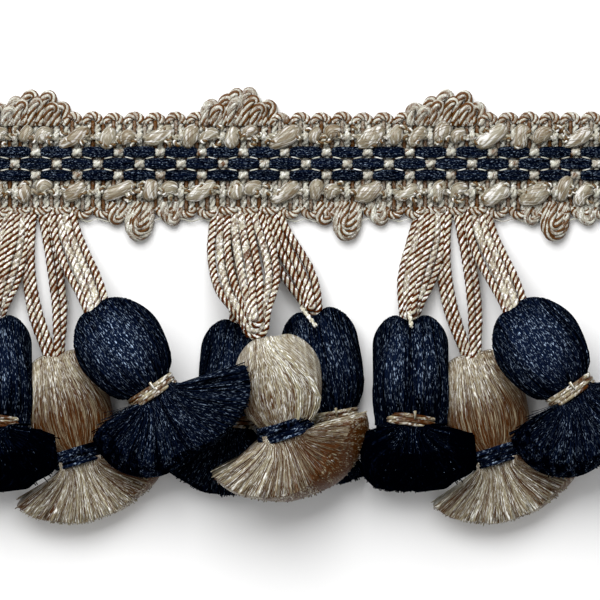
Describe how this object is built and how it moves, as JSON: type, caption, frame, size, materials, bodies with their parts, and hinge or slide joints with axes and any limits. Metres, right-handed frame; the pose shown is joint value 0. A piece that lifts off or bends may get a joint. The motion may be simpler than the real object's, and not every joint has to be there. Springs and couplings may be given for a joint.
{
  "type": "tassel fringe trim",
  "caption": "Cut length of upholstery fringe: a ribbed gimp heading with looped edges, floss rows and slub yarn, from which twisted cord loops carry soft bound tassels.",
  "frame": {"origin": "middle of the heading's flat back, on the surface that the trim lies on", "axes": "+X along the trim, +Y across the heading towards its picot edge and away from the tassels, +Z out of the face"},
  "size_m": [0.1574, 0.0953, 0.0203],
  "materials": {
    "weft_yarn": "lustrous two-tone ivory and brown twisted yarn",
    "cord_yarn": "lustrous two-tone ivory and brown twisted cord",
    "slub_yarn": "silky greige slub yarn",
    "navy_floss": "soft navy floss with a low sheen",
    "greige_floss": "silky greige floss",
    "navy_tie": "navy binding thread",
    "greige_tie": "greige binding thread"
  },
  "bodies": {
    "root": {"heading": "weft_yarn", "navy_row_1": "navy_floss", "navy_row_2": "navy_floss", "navy_row_3": "navy_floss", "slub_row_top": "slub_yarn", "slub_row_bottom": "slub_yarn", "hanger_1": "cord_yarn", "hanger_2": "cord_yarn", "hanger_3": "cord_yarn", "tassel_1_left": "navy_floss", "tassel_1_middle": "greige_floss", "tassel_1_right": "navy_floss", "tassel_2_left": "navy_floss", "tassel_2_middle": "greige_floss", "tassel_2_right": "navy_floss", "tassel_3_left": "navy_floss", "tassel_3_middle": "greige_floss", "tassel_3_right": "navy_floss", "tie_1_left": "greige_tie", "tie_1_middle": "navy_tie", "tie_1_right": "greige_tie", "tie_2_left": "greige_tie", "tie_2_middle": "navy_tie", "tie_2_right": "greige_tie", "tie_3_left": "greige_tie", "tie_3_middle": "navy_tie", "tie_3_right": "greige_tie"}
  },
  "joints": []
}
